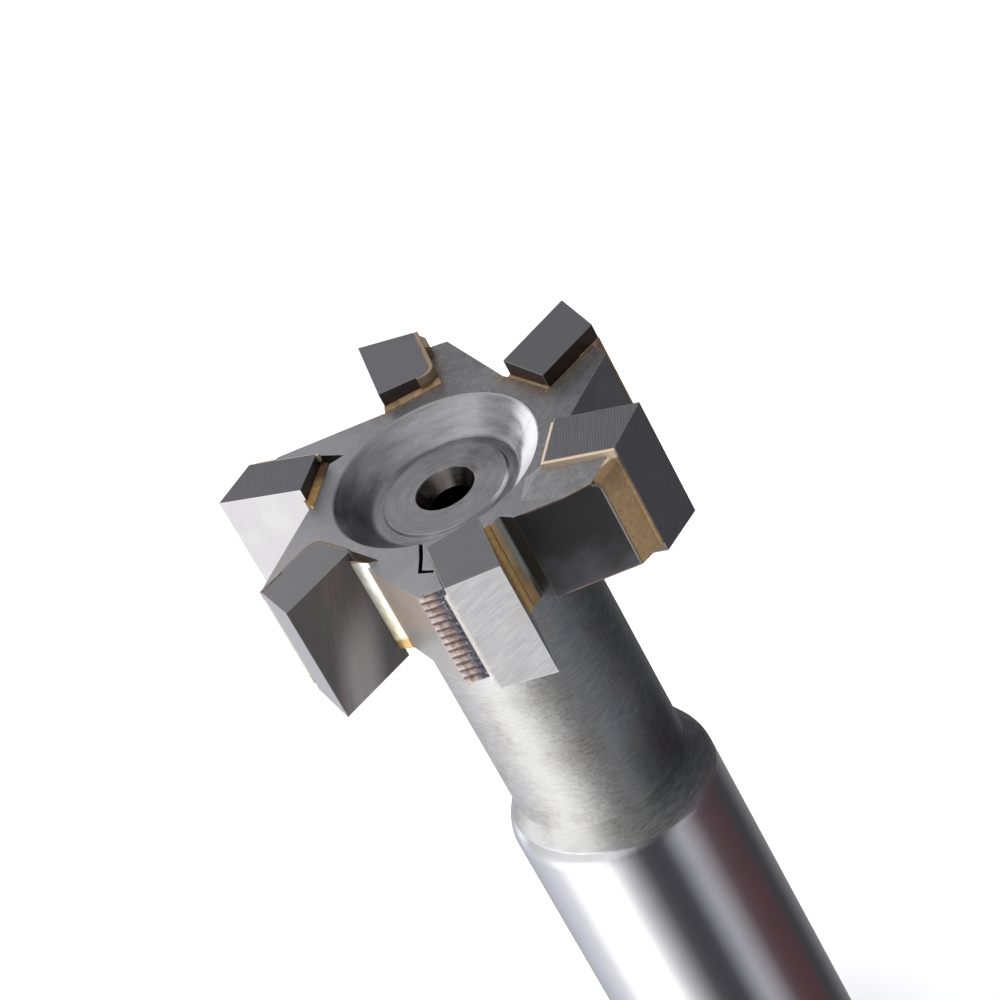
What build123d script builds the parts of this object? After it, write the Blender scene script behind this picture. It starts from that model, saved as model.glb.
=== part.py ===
from build123d import *
import os
from collections import namedtuple
from math import radians, sqrt, tan

# Main sizes in millimetres, directions in degrees. The tool stands on the end of its shank: the
# origin is the centre of that end, and the cutting end points up.
cutting_radius = 25.0
shank_radius = 12.5
shank_length = 56.0
shank_chamfer = 1.0
shoulder_height = 3.9
shoulder_round = 4.0
neck_radius = 10.45
neck_round = 2.0
head_radius = 22.5
head_back = 93.7
face_height = 105.6

# The dished middle of the end face and the centre hole in its raised floor. dish_hollow is how
# far the middle of the dish's wall lies inward and below the straight line.
dish_radius = 12.0
dish_foot_radius = 8.7
dish_depth = 3.1
dish_hollow = 0.12, 0.2
groove_depth = 3.2
groove_outside = 8.5
groove_inside = 7.45
floor_radius = 7.2
floor_depth = 2.8
centre_mouth_radius = 3.5
centre_pilot_radius = 2.4
centre_cone_depth = 1.9
centre_pilot_depth = 8.0
centre_point_depth = 1.4
rim_chamfer = 0.15

# Six teeth at 60 degrees. A tip leans five degrees back from the radius, which is its negative
# rake. Its land and its ends fall away behind the cutting edges, and its two ends are parallel
# seen from the front.
tooth_step = 60.0
first_tooth = 90.6
rake_lean = 5.0
tip_width = 6.3
tip_length = 10.05
tip_rise = 2.41
land_run = 1.69
end_relief = 4.0
end_dish = 1.2

# The trailing wall of a spoke, in the spoke's own frame: its distance from the radius where the
# wall passes trail_station, and what it gains for each millimetre nearer the axis.
trail_offset = 8.95
trail_station = 20.5
trail_gain = 0.25
gullet_root = 8.9
reach = 30.0

# What differs from tooth to tooth on a hand-brazed tool. turn is the tip's error of indexing and
# drop is how far its lower end stands below the end face. end_gap and back_gap are the widths
# of the seat beyond the inner end of the tip and behind it, and corner is the round of the tip
# between the two. The braze stands up behind the tip to climb, follows its inner end for wrap,
# spreads into the gullet by bead and along the outside of the spoke by skirt.
Tooth = namedtuple("Tooth", "name order turn drop end_gap back_gap corner climb wrap bead skirt")
teeth = [
    Tooth("a", 0, -0.6, 13.2, 0.65, 0.50, 1.5, 2.36, 0.3, (0.75, 0.3), 0.5),
    Tooth("b", 1, -0.8, 13.2, 0.25, 0.15, 0.0, 0.50, 0.3, (0.3, 0.2), 0.4),
    Tooth("c", 2, 0.4, 13.5, 0.30, 0.40, 0.0, 2.40, 5.8, (0.4, 0.3), 2.5),
    Tooth("d", 3, -0.2, 13.2, 0.80, 0.15, 0.0, 0.90, 0.3, (1.1, 0.8), 0.3),
    Tooth("e", 4, 0.3, 13.3, 1.45, 0.30, 1.5, 2.40, 4.5, (0.3, 1.9), 0.5),
    Tooth("f", 5, 0.9, 13.2, 0.75, 0.15, 0.0, 2.38, 0.3, (0.9, 0.9), 0.4),
]

# The braze: the thickness of the sheet round the inner end of a tip, and the slopes on which
# the bar falls away from the tip's inner end and the skirt falls away from its back.
sheet_thickness = 0.3
bar_slope = 0.6
skirt_fall = 0.55

# Two spokes keep a step of steel behind the tip: its outline in the spoke's own frame, its
# height at the backing station, and its slopes outward and away from the tip. It starts with a
# ramp up from the end face.
backing_station = 13.0
backing_side = 5.2
backing_ramp = 0.5
backing_c = [(11.6, -5.2), (22.6, -5.2), (17.8, -12), (11.6, -12)], 1.1, 0.06, 0.28
backing_d = [(12.4, -5.2), (24, -5.2), (24, -12), (12.4, -12)], 0.0, 0.15, 0.02

# The outer corner of spoke c falls away from a line across its backing: two points of the line
# in the spoke's frame, and the drop of the steel and of its braze for each millimetre outward.
corner_line = (22.6, -5.2, 1.68), (19.84, -9.12, 0.41)
corner_drop = 2.4
corner_braze_drop = 1.5

# Marks that only some of the spokes have: a slit with a short leg in the end face, a wedge in
# the frame of a seat, a groove in the frame of a spoke, and the ribs that a worn cutter left
# down an outer wall, from rib_top above the end face to the back of the head.
cut_depth = 3.0
slit_outline = [
    (-5.4, -9.9), (-5.05, -10.25), (-6.85, -15.7), (-5.8, -17.05), (-5.95, -17.5), (-7.4, -15.85),
]
wedge_outline = [(5.5, 6.4), (8.75, 8.3), (12.4, 7.5), (10.8, 6.3)]
groove_outline = [(9.2, -10.5), (8.4, -12), (9, -13.5), (11.1, -13), (11.1, -11.3)]
groove_round = 0.5
rib_count = 13
rib_top = 1.1
rib_radius = 0.58
rib_depth = 0.45
rib_sector = (-27.0, -13.0)


def spoke_frame(tooth):
    """Frame of one spoke on the end face: x runs out along the radius, y against the clock."""
    direction = first_tooth - tooth_step * tooth.order + tooth.turn
    return Pos(0, 0, face_height) * Rot(0, 0, direction)


def seat_frame(tooth):
    """Frame of one tip at its cutting corner: x runs in along the rake face, y into the tip."""
    return spoke_frame(tooth) * Pos(cutting_radius, 0, 0) * Rot(0, 0, 180 - rake_lean)


def point_on(frame, x, y):
    """A point of a frame's own plane, in the frame of the whole tool."""
    return (frame * Pos(x, y, 0)).position


def trailing_wall(tooth, x):
    """The point of a spoke's trailing wall that lies x out along its radius."""
    return point_on(spoke_frame(tooth), x, -(trail_offset + trail_gain * (trail_station - x)))


def prism(corners, bottom, top):
    """Upright prism over corners of a level plane, from bottom to top above or below it."""
    outline = make_face(Polyline(*corners, close=True))
    return Pos(0, 0, bottom) * extrude(outline, amount=top - bottom, dir=(0, 0, 1))


def turned_blank():
    """The blank as it leaves the lathe: shank, shoulder, neck, head, dish and centre hole."""
    floor = face_height - floor_depth
    groove = face_height - groove_depth
    dish_foot = face_height - dish_depth
    pilot_top = floor - centre_cone_depth
    pilot_end = floor - centre_pilot_depth
    outside = Polyline(
        (0, pilot_end - centre_point_depth),
        (0, 0),
        (shank_radius - shank_chamfer, 0),
        (shank_radius, shank_chamfer),
        (shank_radius, shank_length),
        (neck_radius, shank_length + shoulder_height),
        (neck_radius, head_back),
        (head_radius, head_back),
        (head_radius, face_height),
        (dish_radius + rim_chamfer, face_height),
        (dish_radius, face_height - rim_chamfer),
    )
    middle_radius = (dish_radius + dish_foot_radius) / 2
    hollow_in, hollow_down = dish_hollow
    dish_wall = ThreePointArc(
        (dish_radius, face_height - rim_chamfer),
        (middle_radius - hollow_in, face_height - dish_depth / 2 - hollow_down),
        (dish_foot_radius, dish_foot),
    )
    inside = Polyline(
        (dish_foot_radius, dish_foot),
        (groove_outside, groove),
        (groove_inside, groove),
        (floor_radius, floor),
        (centre_mouth_radius, floor),
        (centre_pilot_radius, pilot_top),
        (centre_pilot_radius, pilot_end),
        (0, pilot_end - centre_point_depth),
    )
    profile = make_face(outside + dish_wall + inside)
    corners = profile.vertices()
    profile = fillet(corners.sort_by_distance((neck_radius, head_back))[0], neck_round)
    corners = profile.vertices()
    profile = fillet(corners.sort_by_distance((shank_radius, shank_length))[0], shoulder_round)
    return revolve(Plane.XZ * profile, Axis.Z)


def backing(tooth, corners, height, rise, fall):
    """Steel left standing above the end face behind a tip and ground off on a slope: height is
    its height at the backing station, rise and fall its slopes outward and away from the tip."""
    block = prism(corners, -1, tip_rise)
    station = (backing_station, -backing_side, height)
    slope = Plane(origin=station, z_dir=(-rise, -fall, 1))
    block = split(block, bisect_by=slope, keep=Keep.BOTTOM)
    ramp = Plane(origin=(*corners[0], 0), z_dir=(-backing_ramp, 0, 1))
    block = split(block, bisect_by=ramp, keep=Keep.BOTTOM)
    outside = Pos(0, 0, face_height) * Cylinder(head_radius, 4 * tip_rise)
    return (spoke_frame(tooth) * block) & outside


def corner_room(drop=None):
    """The room outside the corner line of spoke c; with a drop, only the part of it that lies
    above a slope falling by drop from the line."""
    start, end = (Vector(*point) for point in corner_line)
    run = end - start
    outward = Vector(-run.Y, run.X, 0).normalized()
    around = [(16, -5.2), (26, -5.2), (26, -14), (16, -14)]
    room = prism(around, head_back - face_height - 1, tip_rise + 1)
    room = split(room, bisect_by=Plane(origin=start, z_dir=outward))
    if drop:
        slope = run.cross(outward - Vector(0, 0, drop))
        room = split(room, bisect_by=Plane(origin=start, z_dir=slope))
    return spoke_frame(teeth[2]) * room


def tooth_space(behind, tooth):
    """What is milled away ahead of one tooth: the gullet from the trailing wall of the spoke
    ahead of it, and the through seat of its tip with room for the braze."""
    seat = seat_frame(tooth)
    seat_root = point_on(seat, tip_length + tooth.end_gap, 0)
    seat_corner = point_on(seat, tip_length + tooth.end_gap, tip_width + tooth.back_gap)
    outline = make_face(Polyline(
        trailing_wall(behind, reach),
        trailing_wall(behind, gullet_root),
        seat_root,
        seat_corner,
        point_on(seat, -reach / 3, tip_width + tooth.back_gap),
        close=True,
    ))
    if tooth.corner:
        nearest = outline.vertices().sort_by_distance(seat_corner)[0]
        outline = fillet(nearest, tooth.corner + tooth.end_gap / 2)
    return Pos(0, 0, 5) * extrude(outline, amount=face_height - head_back + 6, dir=(0, 0, -1))


def end_slope(height):
    """The slope of a tip's cutting end, in the tip's own frame, height above the end face at the
    cutting corner."""
    back = tan(radians(end_relief))
    inward = tan(radians(end_dish))
    return Plane(origin=(0, 0, height), z_dir=(inward, back, 1))


def carbide_tip(tooth):
    """One tip: a flat block whose land, upper end and lower end are ground back on a slope."""
    corners = [(0, 0), (land_run, tip_width), (tip_length, tip_width), (tip_length, 0)]
    block = prism(corners, -tooth.drop - 1, tip_rise + 1)
    if tooth.corner:
        upright = block.edges().filter_by(Axis.Z)
        block = fillet(upright.sort_by_distance((tip_length, tip_width, 0))[0], tooth.corner)
    back = tan(radians(end_relief))
    inward = tan(radians(end_dish))
    lower = Plane(origin=(0, 0, -tooth.drop), z_dir=(-inward, back, -1))
    block = split(block, bisect_by=end_slope(tip_rise), keep=Keep.BOTTOM)
    block = split(block, bisect_by=lower, keep=Keep.BOTTOM)
    return seat_frame(tooth) * block


def braze_seam(tooth, steel, tip):
    """The braze that holds one tip: a sheet behind it that turns the corner and climbs the tip,
    a bar at its inner end that spreads into the root of the gullet, and a skirt outside."""
    foot = head_back - face_height
    top = tip_rise + 1
    far_side = tip_width + tooth.back_gap
    far_end = tip_length + tooth.end_gap
    turned_end = tip_length + min(sheet_thickness, tooth.end_gap)
    sheet = prism(
        [
            (land_run, tip_width / 2),
            (land_run, far_side),
            (turned_end, far_side),
            (turned_end, tip_width - tooth.corner - tooth.wrap),
            (tip_length / 2, tip_width - tooth.corner - tooth.wrap),
        ],
        foot,
        top,
    )
    if tooth.corner:
        upright = sheet.edges().filter_by(Axis.Z)
        outer = upright.sort_by_distance((turned_end, far_side, 0))[0]
        sheet = fillet(outer, tooth.corner)
    sheet = split(sheet, bisect_by=end_slope(tooth.climb), keep=Keep.BOTTOM)
    bead_in, bead_out = tooth.bead
    bead_start = tip_length - bead_out / 3
    bead_end = tip_length + bead_in
    bead = ThreePointArc(
        (bead_start, 0),
        ((bead_start + bead_end) / 2 - bead_out / 20, -bead_out / 2 - bead_in / 20),
        (bead_end, -bead_out),
    )
    rest = Polyline(
        (bead_end, -bead_out),
        (far_end + bead_out, -bead_out),
        (far_end + bead_out, far_side),
        (bead_start, far_side),
        (bead_start, 0),
    )
    bar = extrude(make_face(bead + rest), amount=top - foot, dir=(0, 0, 1))
    bar = Pos(0, 0, foot) * bar
    bar_top = Plane(origin=(far_end, 0, 0.05), z_dir=(bar_slope, 0, 1))
    bar = split(bar, bisect_by=bar_top, keep=Keep.BOTTOM)
    middle = seat_frame(tooth).inverse().position
    skirt_side = far_side + tooth.skirt
    skirt_end = middle.X - sqrt(head_radius**2 - (skirt_side - middle.Y) ** 2)
    skirt = prism(
        [
            (land_run, tip_width),
            (skirt_end, skirt_side),
            (skirt_end + 2, skirt_side),
            (skirt_end + 2, tip_width),
        ],
        foot,
        top,
    )
    skirt_height = tooth.climb - tip_width * tan(radians(end_relief))
    skirt_top = Plane(origin=(land_run, tip_width, skirt_height), z_dir=(0, skirt_fall, 1))
    skirt = seat_frame(tooth) * split(skirt, bisect_by=skirt_top, keep=Keep.BOTTOM)
    if tooth.name == "c":
        skirt = (skirt & corner_room()) - corner_room(corner_braze_drop)
    return seat_frame(tooth) * (sheet + bar) + skirt - steel - tip


def between_ribs(tooth):
    """What is missing between the rounded ribs across the outer wall of one spoke."""
    start, end = rib_sector
    width = rib_top + face_height - head_back
    middle = rib_top - width / 2
    band = Pos(head_radius - rib_depth / 2 + 0.1, middle) * Rectangle(rib_depth + 0.2, width)
    hollow = revolve(Plane.XZ * band, Axis.Z, revolution_arc=end - start)
    pitch = width / rib_count
    for step in range(rib_count):
        height = rib_top - pitch * (step + 0.5)
        round_bar = Pos(head_radius - rib_radius, height) * Circle(rib_radius)
        hollow -= revolve(Plane.XZ * round_bar, Axis.Z, revolution_arc=end - start)
    return spoke_frame(tooth) * Rot(0, 0, start) * hollow


def overcuts():
    """Where seats were cut past their corner: a slit with a short leg beside seat d, a wedge
    behind the inner half of seat f, and a groove down the root of the gullet ahead of seat d."""
    slit = Pos(0, 0, face_height) * prism(slit_outline, -cut_depth, tip_rise)
    wedge = prism(wedge_outline, -cut_depth, tip_rise)
    groove = prism(groove_outline, head_back - face_height - 1, tip_rise)
    upright = groove.edges().filter_by(Axis.Z)
    groove = fillet(upright.sort_by_distance((*groove_outline[0], 0))[0], groove_round)
    return [slit, seat_frame(teeth[5]) * wedge, spoke_frame(teeth[2]) * groove]


def cutter_body():
    """The steel body: the turned blank with two backings, less the six tooth spaces, the outer
    corner of spoke c, the hollows between the ribs of spoke d and the cuts past the seats."""
    body = turned_blank() + backing(teeth[2], *backing_c) + backing(teeth[3], *backing_d)
    for behind, tooth in zip(teeth[-1:] + teeth[:-1], teeth):
        body -= tooth_space(behind, tooth)
    for cut in [corner_room(corner_drop), between_ribs(teeth[3]), *overcuts()]:
        body -= cut
    return body


os.makedirs("parts", exist_ok=True)
steel = cutter_body()
export_step(steel, "parts/cutter_body.step")
for tooth in teeth:
    tip = carbide_tip(tooth)
    export_step(tip, f"parts/carbide_tip_{tooth.name}.step")
    seam = braze_seam(tooth, steel, tip)
    export_step(seam, f"parts/braze_seam_{tooth.name}.step")
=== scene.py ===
import bpy
from math import cos, pi, radians, sin
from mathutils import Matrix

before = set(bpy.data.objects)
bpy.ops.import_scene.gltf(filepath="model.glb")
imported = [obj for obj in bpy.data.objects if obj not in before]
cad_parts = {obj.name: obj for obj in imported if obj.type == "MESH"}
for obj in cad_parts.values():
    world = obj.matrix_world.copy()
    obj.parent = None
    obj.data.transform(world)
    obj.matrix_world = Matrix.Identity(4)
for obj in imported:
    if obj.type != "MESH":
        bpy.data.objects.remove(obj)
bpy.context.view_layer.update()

# The cutter's body: one bar of tool steel, turned, then milled and ground. The shank is ground
# bright all round, the neck and the shoulder keep the satin of a belt, and the head shows the
# lathe in its dish, the mill in its gullets and the heat of the torch round its seats.
face_height = 105.6
head_bottom = 92.4
spoke_radius = 22.35
dish_radius = 12.0
groove_inside, groove_outside = 7.3, 8.7
hole_radius = 3.5


class Wire:
    """A value running through a material: sums and products of wires add the nodes for them."""

    def __init__(self, finish, socket):
        self.finish, self.socket = finish, socket

    def math(self, operation, *others):
        terms = dict(enumerate((self, *others)))
        return self.finish.node("ShaderNodeMath", {"operation": operation}, terms)

    def __add__(self, other):
        return self.math("ADD", other)

    def __sub__(self, other):
        return self.math("SUBTRACT", other)

    def __rsub__(self, other):
        return self.math("MULTIPLY", -1) + other

    def __mul__(self, other):
        return self.math("MULTIPLY", other)

    def __truediv__(self, other):
        return self.math("DIVIDE", other)

    def __neg__(self):
        return self.math("MULTIPLY", -1)

    __radd__ = __add__

    def ramp(self, low, high):
        """0 up to low, 1 from high on, smooth between them; the other way round if low > high."""
        settings = {"interpolation_type": "SMOOTHSTEP"}
        return self.finish.node("ShaderNodeMapRange", settings, {"Value": self, 1: low, 2: high})

    def band(self, low, high, soft):
        """1 from low to high, 0 outside it, with soft edges."""
        return self.ramp(low - soft, low + soft) * self.ramp(high + soft, high - soft)


class Finish:
    """A material in the making, with the places on the tool measured in millimetres."""

    def __init__(self, name, tree=None):
        if tree is None:
            self.material = bpy.data.materials.new(name)
            self.material.use_nodes = True
            tree = self.material.node_tree
            self.surface = tree.nodes["Principled BSDF"]
        self.tree = tree

    def node(self, kind, settings, inputs, output=0):
        """Adds a node of that kind and hands back one of its outputs as a wire."""
        made = self.tree.nodes.new(kind)
        for name, value in settings.items():
            if name == "stops":
                ramp = made.color_ramp
                for place, colour in value[1:-1]:
                    ramp.elements.new(place)
                for stop, (place, colour) in zip(ramp.elements, value):
                    stop.position, stop.color = place, (*colour, 1)
            else:
                setattr(made, name, value)
        for name, value in inputs.items():
            if isinstance(value, Wire):
                self.tree.links.new(value.socket, made.inputs[name])
            else:
                made.inputs[name].default_value = value
        return Wire(self, made.outputs[output])

    def split(self, vector):
        """The three parts of a vector."""
        return [self.node("ShaderNodeSeparateXYZ", {}, {0: vector}, part) for part in range(3)]

    def join(self, x, y, z):
        return self.node("ShaderNodeCombineXYZ", {}, {0: x, 1: y, 2: z})

    def measure(self):
        """Where on the tool the surface is, in millimetres, and which way it faces."""
        place = self.node("ShaderNodeTexCoord", {}, {}, "Object")
        place = self.node("ShaderNodeVectorMath", {"operation": "SCALE"}, {0: place, "Scale": 1000})
        facing = self.node("ShaderNodeNewGeometry", {}, {}, "True Normal")
        return place, self.split(place), self.split(facing)

    def noise(self, place, scale, detail=2.0, rough=0.5):
        """Cloudy noise from 0 to 1 with lumps of about 1 / scale."""
        inputs = {"Vector": place, "Scale": scale, "Detail": detail, "Roughness": rough}
        return self.node("ShaderNodeTexNoise", {}, inputs)

    def mix(self, share, under, over, blend="MIX"):
        """Colour over laid on colour under, by share from 0 to 1."""
        settings = {"data_type": "RGBA", "blend_type": blend}
        inputs = {"Factor": share}
        for socket, colour in ((6, under), (7, over)):
            inputs[socket] = colour if isinstance(colour, Wire) else (*colour, 1)
        return self.node("ShaderNodeMix", settings, inputs, 2)

    def grey(self, value):
        """A colour whose three parts are one value."""
        return self.node("ShaderNodeCombineColor", {}, {0: value, 1: value, 2: value})

    def wear(self, width):
        """1 on the edges of the solid, 0 from width away from them, in metres."""
        rounded = self.node("ShaderNodeBevel", {"samples": 4}, {"Radius": width})
        flat = self.node("ShaderNodeNewGeometry", {}, {}, "True Normal")
        dot = {"operation": "DOT_PRODUCT"}
        same = self.node("ShaderNodeVectorMath", dot, {0: rounded, 1: flat}, 1)
        return same.ramp(0.995, 0.85)

    def dress(self, node, colour, metal, roughness, height, depth, edge):
        """Puts the finish on a node of the solid model. height is the relief, depth its scale
        and edge the radius to which the edges are rounded, both in metres."""
        surface = self.surface
        for name, value in (("Base Color", colour), ("Metallic", metal), ("Roughness", roughness)):
            if isinstance(value, Wire):
                self.tree.links.new(value.socket, surface.inputs[name])
            else:
                surface.inputs[name].default_value = value
        inputs = {"Height": height, "Strength": 1.0, "Distance": depth}
        inputs["Normal"] = self.node("ShaderNodeBevel", {"samples": 4}, {"Radius": edge})
        relief = self.node("ShaderNodeBump", {}, inputs)
        self.tree.links.new(relief.socket, surface.inputs["Normal"])
        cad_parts[node].data.materials[0] = self.material


steel = Finish("ground_and_turned_steel")
place, (x, y, z), (east, north, up) = steel.measure()
radius = (x * x + y * y).math("SQRT")
round_x, round_y = x / radius, y / radius
level = up.ramp(0.85, 0.95)

# The belt-ground neck and the bright shank meet on a slightly slanting line.
wander = steel.noise(steel.join(round_x, round_y, 0.0), 1.5)
bright_line = 56.3 - x * 0.13 + (wander - 0.5) * 0.5
shank = (z - bright_line).ramp(0.15, -0.15)
head = z.ramp(head_bottom - 0.2, head_bottom + 0.2)
neck = (1 - shank) * (1 - head)
dish = radius.ramp(dish_radius + 0.1, dish_radius - 0.1) * head
groove = radius.band(groove_inside, groove_outside, 0.15) * dish
hole = radius.ramp(hole_radius + 0.1, hole_radius - 0.05) * head
end_face = level * head * (1 - dish)
wall = up.math("ABSOLUTE").ramp(0.5, 0.3) * head * (1 - dish)

# What the belt, the lathe and years of use left: lines round the neck and the shank, rings and
# swirls in the dish, and scratches across the end face.
belt_streaks = steel.noise(steel.join(round_x * 8, round_y * 8, z * 3.5), 1.0, 2.0, 0.6)
belt_lines = steel.noise(steel.join(round_x * 2.5, round_y * 2.5, z * 6), 1.0, 2.0, 0.6)
sparkle = steel.noise(steel.join(round_x * 16, round_y * 16, z * 2.2), 1.0, 1.0)
fine_lines = steel.noise(steel.join(round_x * 1.2, round_y * 1.2, z * 14), 1.0, 2.0)
clouds = steel.noise(place, 0.22, 3.0)
rings = steel.noise(steel.join(radius * 5, round_x * 1.4, round_y * 1.4), 1.0, 3.0, 0.7)
swirls = steel.noise(steel.join(radius * 1.3, round_x * 2.2, round_y * 2.2), 1.0, 3.0, 0.65)
grit = steel.noise(place, 5.0, 2.0)
scratches = steel.noise(steel.join(x * 0.5 + y * 0.3, x * 3.4 - y * 5.6, z), 1.0, 3.0, 0.6)

# The torch left the steel brown beside each seat, by these shares. Each tip was brazed in a
# little turned from its sixth of a circle, by these degrees.
cutting_radius = 25.0
first_tooth = 90.6
tooth_step = 60
rake_lean = 5
seat_length, seat_width = 10.5, 6.5
heat_beside_seats = {"a": 0.65, "b": 0.75, "c": 0.15, "d": 0.1, "e": 0.3, "f": 0.15}
tooth_turns = {"a": -0.6, "b": -0.8, "c": 0.4, "d": -0.2, "e": 0.3, "f": 0.9}


def tooth_frame(x, y, order, turn):
    """Millimetres along a tip from its cutting corner and across it, and the way it points in."""
    spoke = radians(first_tooth - tooth_step * order + turn)
    inward = spoke + pi - radians(rake_lean)
    east_of, north_of = x - cutting_radius * cos(spoke), y - cutting_radius * sin(spoke)
    along = east_of * cos(inward) + north_of * sin(inward)
    across = north_of * cos(inward) - east_of * sin(inward)
    return along, across, inward


heat = None
for order, (name, turn) in enumerate(tooth_turns.items()):
    along, across, _ = tooth_frame(x, y, order, turn)
    past = (along - seat_length).math("MAXIMUM", across - seat_width)
    near = past.ramp(2.2, 0.1) * across.ramp(-3, -1) * across.ramp(14, 11)
    brown = near * heat_beside_seats[name]
    heat = heat.math("MAXIMUM", brown) if heat else brown
heat = heat * end_face * (clouds * 0.5 + 0.7)

# The gullet walls by their bearing from the tool's axis: one is black from the torch, one dark,
# one warm, and at the root beside tip d the braze wetted one face and left the next one black.
bearing = y.math("ARCTAN2", x) * (180 / pi)
in_gullet = wall * radius.ramp(spoke_radius + 0.05, spoke_radius - 0.05)
black_wall = bearing.band(-88, -46, 1.5) * in_gullet
dark_wall = bearing.band(-30, 9, 1.5) * in_gullet
warm_wall = bearing.band(-150, -108, 1.5) * in_gullet
beige_reflection = (z - radius * 0.6 - 88).ramp(-1.2, 1.2)
root = bearing.band(-100, -60, 2) * head * y.ramp(-17, -16) * wall
wetted = (east * 0.54 - north * 0.84).ramp(0.96, 0.98) * root
root_strip = (east * 0.79 + north * 0.62).ramp(-0.96, -0.98) * root
root_highlight = x.band(2.3, 3.0, 0.2) * root * z.ramp(95, 99)
ribbed = bearing.band(-116, -102, 0.6) * head * radius.ramp(21.9, 22.0) * up.ramp(0.95, 0.9)

# The colours, from the bare steel up to the marks that lie over everything else.
lit = 1 + (0.25 - x * 0.022 - y * 0.004) * (1 - dish)
colour = steel.mix(1.0, (0.52, 0.52, 0.54), steel.grey(lit), "MULTIPLY")
colour = steel.mix(neck, colour, (0.62, 0.62, 0.61))
colour = steel.mix(shank, colour, (0.78, 0.78, 0.80))
colour = steel.mix(wall, colour, (0.44, 0.42, 0.40))
# The warm wall is painted with reflections: grey low down and beige higher up.
warm = steel.mix(beige_reflection, (0.56, 0.54, 0.52), (0.68, 0.57, 0.50))
colour = steel.mix(warm_wall, colour, warm)
colour = steel.mix(dark_wall, colour, (0.20, 0.20, 0.22))
# The black wall is painted lighter towards its bottom, in patches, as a sheen painted over its
# soot.
sheen_through_soot = (clouds * 0.6 + (z - 96) * 0.04).ramp(0.45, 0.15)
soot_and_sheen = steel.mix(sheen_through_soot, (0.026, 0.025, 0.026), (0.09, 0.09, 0.10))
colour = steel.mix(black_wall, colour, soot_and_sheen)
colour = steel.mix(root_strip, colour, (0.025, 0.025, 0.025))
gilding = (clouds * 2 + (z - 100) * 0.06).ramp(0.6, 1.3)
colour = steel.mix(wetted, colour, steel.mix(gilding, (0.34, 0.20, 0.07), (0.52, 0.35, 0.18)))
# A grey strip beside tip d's braze at the gullet's root is painted as a highlight.
colour = steel.mix(root_highlight, colour, (0.34, 0.35, 0.33))
# The centre hole is painted dark as its shade, with a painted glint on its far side.
glint = bearing.band(68, 104, 16) * (0.5 + clouds * 0.6)
colour = steel.mix(hole, colour, steel.mix(glint, (0.05, 0.045, 0.04), (0.30, 0.27, 0.26)))
colour = steel.mix(heat, colour, (0.24, 0.16, 0.09))
# The groove in the dish's floor is painted darker as shade, most on its right and far side.
groove_shade = bearing.band(-75, 125, 15) * 0.3 + 0.1
colour = steel.mix(groove * groove_shade, colour, (0.14, 0.14, 0.15))

# The step of steel behind tip c catches less light, first on its ramp and then on its top. A
# dark line, a painted shadow, follows the right of the dish's rim, and scuffs cross the end face.
step_ramp = (up * 0.89 - east * 0.39 + north * 0.22).ramp(0.985, 0.995) * head * (1 - dish)
colour = steel.mix(step_ramp * 0.8, colour, (0.20, 0.20, 0.21))
step_top = (up * 0.96 - east * 0.18 - north * 0.21).ramp(0.99, 0.995) * head * (1 - dish)
colour = steel.mix(step_top * 0.15, colour, (0.14, 0.14, 0.15))
rim_shadow = radius.band(dish_radius + 0.05, dish_radius + 0.22, 0.06) * end_face
rim_shadow = rim_shadow * bearing.band(-48, 24, 8)
colour = steel.mix(rim_shadow * 0.7, colour, (0.04, 0.04, 0.045))
scuffs = (scratches * 1.2 + grit * 0.3 + clouds * 0.5).ramp(1.10, 1.35) * end_face
colour = steel.mix(scuffs * 0.35, colour, (0.80, 0.80, 0.80))

# The dish's wall is painted dull on the left and bright on the right as light falling from one
# side, with a painted highlight crescent in the lathe's brushed sweeps.
outer = radius.ramp(8.5, 9)
sweep = radius + (swirls - 0.5) * 2 - bearing * 0.06
highlight_crescent = bearing.band(-54, 20, 10) * sweep.ramp(9.3, 10.7) * outer * dish
tone = 1.3 - outer * 0.2 - bearing.math("ABSOLUTE").ramp(118, 150) * outer * 0.6
tone = tone - bearing.band(-125, -75, 15) * outer * 0.25 - bearing.band(-8, 40, 12) * 0.4
tone = tone + highlight_crescent * bearing.ramp(25, -5) * 0.8
tone = tone + bearing.band(-30, -8, 10) * outer * dish * 0.3
tone = tone * dish + (1 - dish)
colour = steel.mix(1.0, colour, steel.grey(tone), "MULTIPLY")

# The neck is darker and cooler on its right side, and the shoulder's cone brighter on its left.
shade = bearing.band(-76, -24, 10) * neck * z.ramp(56, 61)
colour = steel.mix(shade, colour, (0.86, 1.0, 1.04), "MULTIPLY")
colour = steel.mix(shade * (0.75 - z.ramp(64, 71) * 0.42), colour, (0.14, 0.14, 0.15))
shoulder = up.ramp(0.2, 0.4) * z.ramp(66, 64) * neck
gleam = bearing.band(-172, -112, 12)
colour = steel.mix(shoulder, colour, steel.grey(gleam * 0.75 + 0.72), "MULTIPLY")

# The soot is singed off along the black wall's edges. The ribs on spoke d are dark in their
# grooves, rusty on their crests and stained blue beside the tip.
spots = steel.noise(place, 1.3, 3.0)
singed = steel.wear(0.0005) * black_wall * x.ramp(5.0, 5.6)
colour = steel.mix(singed * (spots * 1.8), colour, (0.36, 0.22, 0.14))
crest = up.math("ABSOLUTE").ramp(0.85, 0.35)
rust = steel.mix(spots.ramp(0.35, 0.65), (0.30, 0.20, 0.17), (0.62, 0.48, 0.43))
rust = steel.mix(crest, (0.10, 0.06, 0.05), rust)
beside_tip = (bearing + spots * 4).ramp(-108.5, -105)
stained = steel.mix(grit.ramp(0.55, 0.7), (0.07, 0.07, 0.10), (0.50, 0.50, 0.56))
rust = steel.mix(beside_tip, rust, stained)
rust = steel.mix(bearing.ramp(-111.3, -112.0) * crest, rust, (0.60, 0.50, 0.48))
colour = steel.mix(ribbed, colour, rust)
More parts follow.
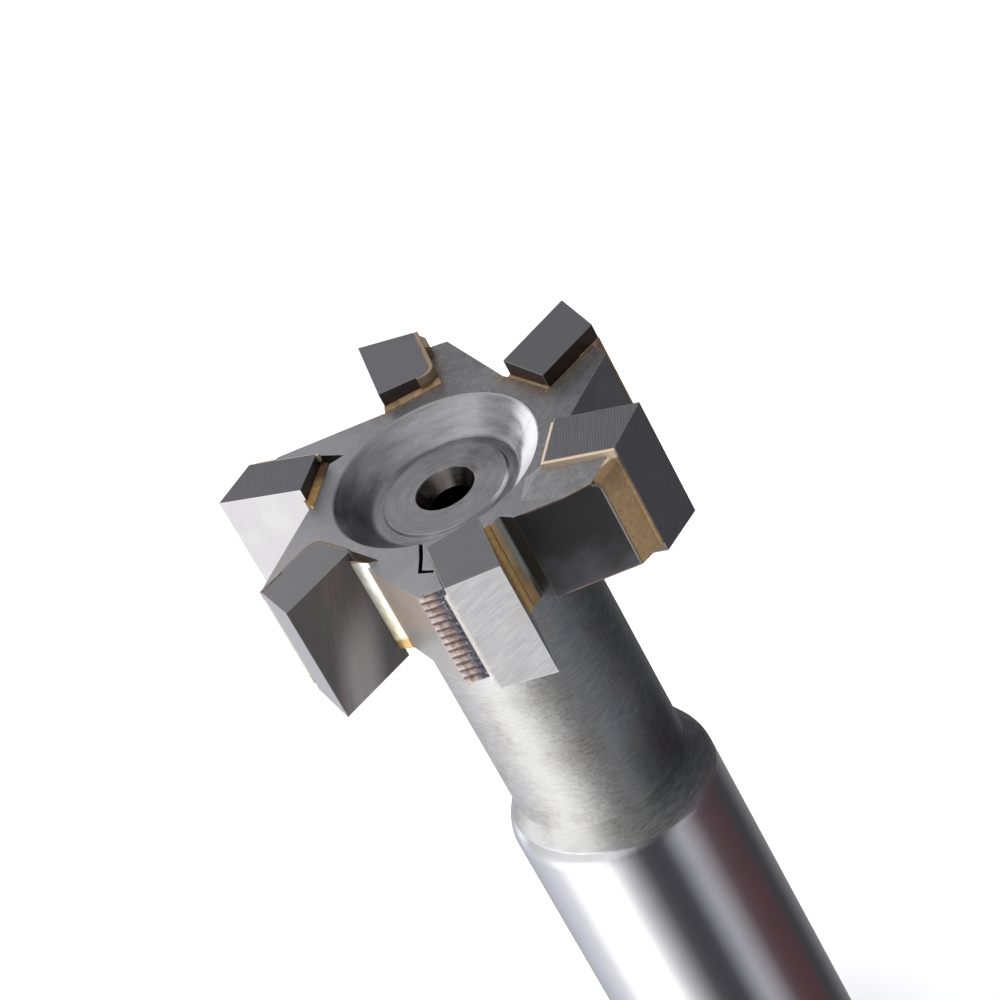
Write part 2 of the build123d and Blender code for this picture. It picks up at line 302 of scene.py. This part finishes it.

# Stains, mottling and worn edges lie over all of it. The slit beside tip d is painted black
# inside, as its shade.
earth = neck * (clouds * 0.9 + grit * 0.2).ramp(0.5, 0.8)
colour = steel.mix(earth * 0.5, colour, (0.33, 0.31, 0.27))
mottle = 0.5 + (clouds - 0.5) * 0.4 + (grit - 0.5) * 0.4
mottle = mottle + dish * (swirls - 0.5) * (1.2 - highlight_crescent * 0.7)
mottle = mottle + neck * (belt_streaks - 0.5) * 0.8
mottle = mottle + end_face * (spots * 1.2 + grit * 0.6 + scratches * 0.3 - 1.05) * 0.5
colour = steel.mix(0.6, colour, steel.grey(mottle), "OVERLAY")
edges = steel.wear(0.0003) * head * (1 - wall * 0.8)
colour = steel.mix(edges * (spots * 1.2), colour, (0.82, 0.80, 0.78))
slit_shade = x.band(-7.6, -5.0, 0.02) * y.band(-17.6, -9.8, 0.02) * (1 - level) * head
slit_shade = slit_shade * (1 - ribbed)
colour = steel.mix(slit_shade, colour, (0.01, 0.01, 0.01))

# How metallic and how rough it is, and the relief that the tools left in it.
metal = 1 - warm_wall * 0.4 - black_wall * 0.6 - ribbed * 0.5 - heat * 0.2 - slit_shade * 0.9
metal = metal - dark_wall * 0.3 - root_strip * 0.2 - highlight_crescent * 0.5
roughness = 0.40 + (clouds - 0.5) * 0.1 + dish * ((swirls - 0.5) * 0.2 - 0.1)
roughness = roughness * (1 - shank) + shank * (0.20 + (fine_lines - 0.5) * 0.03)
roughness = roughness + neck * (belt_streaks - 0.5) * 0.2 - ribbed * 0.12 - hole * 0.08
roughness = roughness + neck * 0.1

relief = neck * (belt_streaks * 0.5 + belt_lines * 0.25 + sparkle * 0.5)
relief = relief + shank * fine_lines * 0.012
relief = relief + dish * rings * 0.5 + end_face * (scratches * 0.3 + grit * 0.3)
relief = relief + wall * clouds * 0.3 + ribbed * (spots + grit * 0.5) * 2
steel.dress("cutter_body", colour, metal, roughness, relief, 0.00006, 0.00012)

# The tips: six flat blocks of sintered carbide, ground on every side that cuts. Each lies in its
# seat leaning back five degrees from the radius. Some faces are lapped and some stained, and each
# tip's end, land and rake colours are painted lighter, darker or bluer to the light each face
# shows.
# For each tip: the colours of its end, its land and its rake, and how metallic the rake is.
stripe_width = 0.33
tip_looks = {
    "a": ((0.50, 0.49, 0.52), (0.60, 0.60, 0.60), (0.50, 0.50, 0.50), 1.0),
    "b": ((0.38, 0.38, 0.40), (0.60, 0.60, 0.60), (0.50, 0.50, 0.50), 1.0),
    "c": ((0.38, 0.37, 0.40), (0.53, 0.63, 0.66), (0.50, 0.50, 0.50), 1.0),
    "d": ((0.42, 0.42, 0.45), (0.62, 0.61, 0.62), (0.50, 0.50, 0.50), 1.0),
    "e": ((0.51, 0.51, 0.53), (0.78, 0.78, 0.79), (0.09, 0.085, 0.085), 0.25),
    "f": ((0.45, 0.45, 0.48), (0.60, 0.60, 0.60), (0.37, 0.365, 0.37), 1.0),
}
for order, (name, turn) in enumerate(tooth_turns.items()):
    end_colour, land_colour, rake_colour, rake_metal = tip_looks[name]
    carbide = Finish(f"ground_carbide_{name}")
    place, (x, y, z), (east, north, up) = carbide.measure()
    along, across, inward = tooth_frame(x, y, order, turn)
    outward = -(east * cos(inward) + north * sin(inward))
    forward = east * sin(inward) - north * cos(inward)
    end = up.ramp(0.8, 0.9)
    land = outward.ramp(0.6, 0.8)
    rake = forward.ramp(0.6, 0.8)

    # The wheel crossed the ends at a slant and left even stripes on tip c. The lands were lapped
    # on a slant too, and tip d's shows it most.
    wheel = across * 0.97 - along * 0.24, along * 0.97 + across * 0.24
    end_lines = carbide.noise(carbide.join(wheel[0] * 0.3, wheel[1] * 2, 0), 1.0, 1.0)
    if name == "c":
        stripes = (wheel[1] * (2 * pi / stripe_width)).math("SINE") * 0.5 + 0.5
        end_lines = end_lines * 0.5 + stripes * 0.5
    else:
        end_lines = end_lines * 0.3 + 0.35
    lap = z * 0.41 - across * 0.91, z * 0.91 + across * 0.41
    land_lines = carbide.noise(carbide.join(lap[0] * 0.3, lap[1] * 2.0, 0), 1.0, 3.0, 0.6)
    if name == "d":
        land_lines = land_lines * 1.3 - 0.15
    else:
        land_lines = land_lines * 0.5 + 0.25
    streaks = carbide.noise(carbide.join(along * 0.8 - (z - 105) * 0.33, z * 0.1, 0), 1.0, 2.0)
    grain = carbide.noise(place, 6.0, 2.0)
    lines = end * end_lines * 0.4 + land * land_lines

    # The rake of tip e is dark with a brown stain and one light sheen, and tip f's is hazy.
    colour = carbide.mix(land, end_colour, land_colour)
    if name == "e":
        slant = along - (z - face_height) * 0.415
        sheen = slant.band(6.0, 11.0, 2.0) * z.ramp(104, 96) * (streaks * 1.6)
        rake_colour = carbide.mix(sheen, rake_colour, (0.36, 0.35, 0.36))
        brown = streaks.ramp(0.45, 0.65) * slant.ramp(3, 6)
        rake_colour = carbide.mix(brown * 0.4, rake_colour, (0.17, 0.13, 0.11))
    if name == "f":
        haze = carbide.noise(place, 0.25, 2.0).ramp(0.35, 0.7)
        rake_colour = carbide.mix(haze, (0.36, 0.352, 0.36), (0.39, 0.39, 0.39))
    colour = carbide.mix(rake, colour, rake_colour)
    sides = (1 - end) * (1 - land) * (1 - rake)
    side_colour = carbide.mix(streaks, (0.05, 0.045, 0.045), (0.16, 0.12, 0.10))
    colour = carbide.mix(sides, colour, side_colour)
    tone = 0.5 + end * (end_lines - 0.5) * 0.5 + land * (land_lines - 0.5) * 0.7
    tone = tone + (grain - 0.5) * 0.15
    colour = carbide.mix(0.6, colour, carbide.grey(tone), "OVERLAY")
    edges = carbide.wear(0.0003 if name == "d" else 0.0002)
    colour = carbide.mix(edges * 0.6, colour, (0.85, 0.85, 0.85))
    metal = 1 - rake * (1 - rake_metal)
    roughness = 0.32 - rake * 0.17 + streaks * rake * 0.1
    carbide.dress(f"carbide_tip_{name}", colour, metal, roughness, lines, 0.00003, 0.00008)

# The braze: bronze-coloured filler that ran round each tip under the torch and froze, bright
# where it was wiped or ground through and dull brown where the flux burned on. For each piece:
# its colour, the colour where it climbs the tip, how metallic it is and how much of it is burnt.
braze_looks = {
    "a": ((0.26, 0.17, 0.10), (0.30, 0.22, 0.16), 0.5, 0.6),
    "b": ((0.26, 0.18, 0.11), (0.55, 0.46, 0.38), 0.5, 0.4),
    "c": ((0.35, 0.23, 0.115), (0.58, 0.46, 0.34), 0.3, 0.0),
    "d": ((0.52, 0.33, 0.13), (1.00, 0.95, 0.88), 0.3, 0.1),
    "e": ((1.00, 0.99, 0.90), (0.62, 0.50, 0.40), 1.0, 0.0),
    "f": ((0.30, 0.18, 0.07), (0.50, 0.42, 0.34), 0.4, 0.5),
}
for name, (bronze, line, metal, burning) in braze_looks.items():
    braze = Finish(f"frozen_braze_{name}")
    place, (x, y, z), (_, _, up) = braze.measure()
    lumps = braze.noise(place, 0.5, 2.0)
    specks = braze.noise(place, 3.0, 2.0)
    burnt = (lumps + specks * 0.3 + burning * 0.4).ramp(0.85, 1.2)
    colour = braze.mix(burnt * 0.7, bronze, (0.14, 0.08, 0.04))
    mottled = braze.noise(place, 2.2, 3.0, 0.6)
    colour = braze.mix(0.35, colour, braze.grey(mottled * 1.6 - 0.3), "OVERLAY")
    climbing = z.ramp(face_height + 0.8, face_height + 1.0)

    # Beside tip c the braze is darker at its top. On spoke d it is light where it reaches the
    # spoke's outside. Beside tip e it is wiped bright, with gold edges and a dark puddle on top.
    # Beside tip f it goes from nearly black to cream at its foot.
    if name == "c":
        colour = braze.mix((z + lumps * 3).ramp(103.5, 107) * 0.6, colour, (0.16, 0.10, 0.05))
    if name == "d":
        climbing = (x * x + y * y).math("SQRT").ramp(21, 21.5)
    if name == "e":
        puddle = up.band(0.75, 0.93, 0.04)
        colour = braze.mix((lumps * 4 - z).ramp(-100, -94), colour, (1.00, 0.90, 0.70))
        colour = braze.mix(braze.wear(0.0002) * 0.6, colour, (0.80, 0.54, 0.22))
        colour = braze.mix(puddle, colour, (0.16, 0.10, 0.05))
        colour = braze.mix((z + lumps).ramp(95.9, 95.2), colour, (0.60, 0.40, 0.18))
    if name == "f":
        colour = braze.mix((y + lumps * 2).ramp(8.5, 11), colour, (0.07, 0.04, 0.02))
        colour = braze.mix((y + lumps * 2).ramp(7.0, 6.3), colour, (0.95, 0.78, 0.55))
    colour = braze.mix(climbing, colour, line)
    roughness = 0.36 + burnt * 0.25
    relief = lumps + specks * 0.1
    braze.dress(f"braze_seam_{name}", colour, metal, roughness, relief, 0.0001, 0.0002)

# The table under the cutter: a broad pale sheet that neither mirrors in the polished shank nor
# throws a shadow.
bpy.ops.mesh.primitive_plane_add(size=12)
table = bpy.context.object
table.name = "pale_table"
table_finish = Finish("pale_table")
table_finish.surface.inputs["Base Color"].default_value = (0.86, 0.86, 0.87, 1)
table_finish.surface.inputs["Roughness"].default_value = 0.9
table_finish.surface.inputs["Specular IOR Level"].default_value = 0.1
table.data.materials.append(table_finish.material)
table.visible_glossy = False
table.visible_shadow = False

# The studio: a white tent that is open and dark on the right, a red-brown cloth low on the right
# that shows in the shank, and one soft lamp overhead.
world = bpy.data.worlds.new("studio")
world.use_nodes = True
bpy.context.scene.world = world
tent = Finish("tent", world.node_tree)
direction = tent.split(tent.node("ShaderNodeTexCoord", {}, {}, "Generated"))
bearing = direction[1].math("ARCTAN2", direction[0]) / (2 * pi)
bearing = bearing.math("FRACT")


def surroundings(stops):
    """Light from all round, from stops of a bearing in degrees and a colour."""
    stops = [(degrees / 360, colour) for degrees, colour in stops]
    return tent.node("ShaderNodeValToRGB", {"stops": stops}, {0: bearing})


low = surroundings([
    (0, (0.06, 0.06, 0.065)),
    (30, (0.05, 0.05, 0.055)),
    (70, (0.24, 0.24, 0.25)),
    (88, (0.38, 0.38, 0.40)),
    (110, (0.48, 0.48, 0.50)),
    (137, (0.66, 0.66, 0.76)),
    (160, (0.85, 0.85, 0.88)),
    (184, (1.70, 1.70, 1.70)),
    (205, (2.30, 2.30, 2.30)),
    (234, (0.70, 0.70, 0.70)),
    (248, (0.28, 0.28, 0.29)),
    (260, (0.06, 0.06, 0.07)),
    (284, (0.05, 0.05, 0.06)),
    (307, (0.48, 0.48, 0.52)),
    (322, (0.30, 0.27, 0.29)),
    (336, (0.12, 0.10, 0.11)),
    (360, (0.06, 0.06, 0.065)),
])
middle = surroundings([
    (0, (0.08, 0.08, 0.09)),
    (60, (0.05, 0.05, 0.06)),
    (90, (0.20, 0.20, 0.20)),
    (108, (1.90, 1.90, 1.95)),
    (132, (1.90, 1.90, 1.95)),
    (145, (0.60, 0.60, 0.60)),
    (185, (0.90, 0.90, 0.90)),
    (235, (0.90, 0.90, 0.90)),
    (262, (0.20, 0.20, 0.20)),
    (290, (0.09, 0.09, 0.10)),
    (340, (0.09, 0.09, 0.10)),
    (360, (0.12, 0.12, 0.13)),
])
high = surroundings([
    (0, (0.26, 0.26, 0.27)),
    (50, (0.24, 0.24, 0.25)),
    (88, (0.28, 0.28, 0.29)),
    (130, (0.50, 0.50, 0.50)),
    (180, (0.70, 0.70, 0.70)),
    (230, (0.55, 0.55, 0.55)),
    (273, (0.45, 0.45, 0.45)),
    (320, (0.28, 0.28, 0.29)),
    (360, (0.26, 0.26, 0.27)),
])
cloth = (bearing.ramp(0.90, 0.95) + bearing.ramp(0.06, 0.03)) * direction[2].ramp(-0.60, -0.66)
low = tent.mix(cloth, low, (0.10, 0.045, 0.052))
sky = tent.mix(direction[2].ramp(-0.45, -0.05), low, middle)
sky = tent.mix(direction[2].ramp(0.2, 0.6), sky, high)
background = world.node_tree.nodes["Background"]
world.node_tree.links.new(sky.socket, background.inputs["Color"])

lamp = bpy.data.lights.new("overhead_lamp", "AREA")
lamp.shape = "DISK"
lamp.size = 1.2
lamp.energy = 30
lamp_stand = bpy.data.objects.new("overhead_lamp", lamp)
lamp_stand.location = (0, 0, 1.5)
lamp_stand.visible_glossy = False
bpy.context.scene.collection.objects.link(lamp_stand)

# The camera looks down on the head from the front and is rolled, so that the tool leans left.
lens = bpy.data.cameras.new("camera")
lens.lens = 164.19
lens.sensor_width = 36.0
lens.clip_start = 0.01
camera = bpy.data.objects.new("camera", lens)
camera.location = (-0.014171, -0.406443, 0.380210)
camera.rotation_euler = (radians(51.593), radians(23.379), radians(-20.104))
bpy.context.scene.collection.objects.link(camera)
bpy.context.scene.camera = camera
bpy.context.scene.view_settings.view_transform = "Standard"
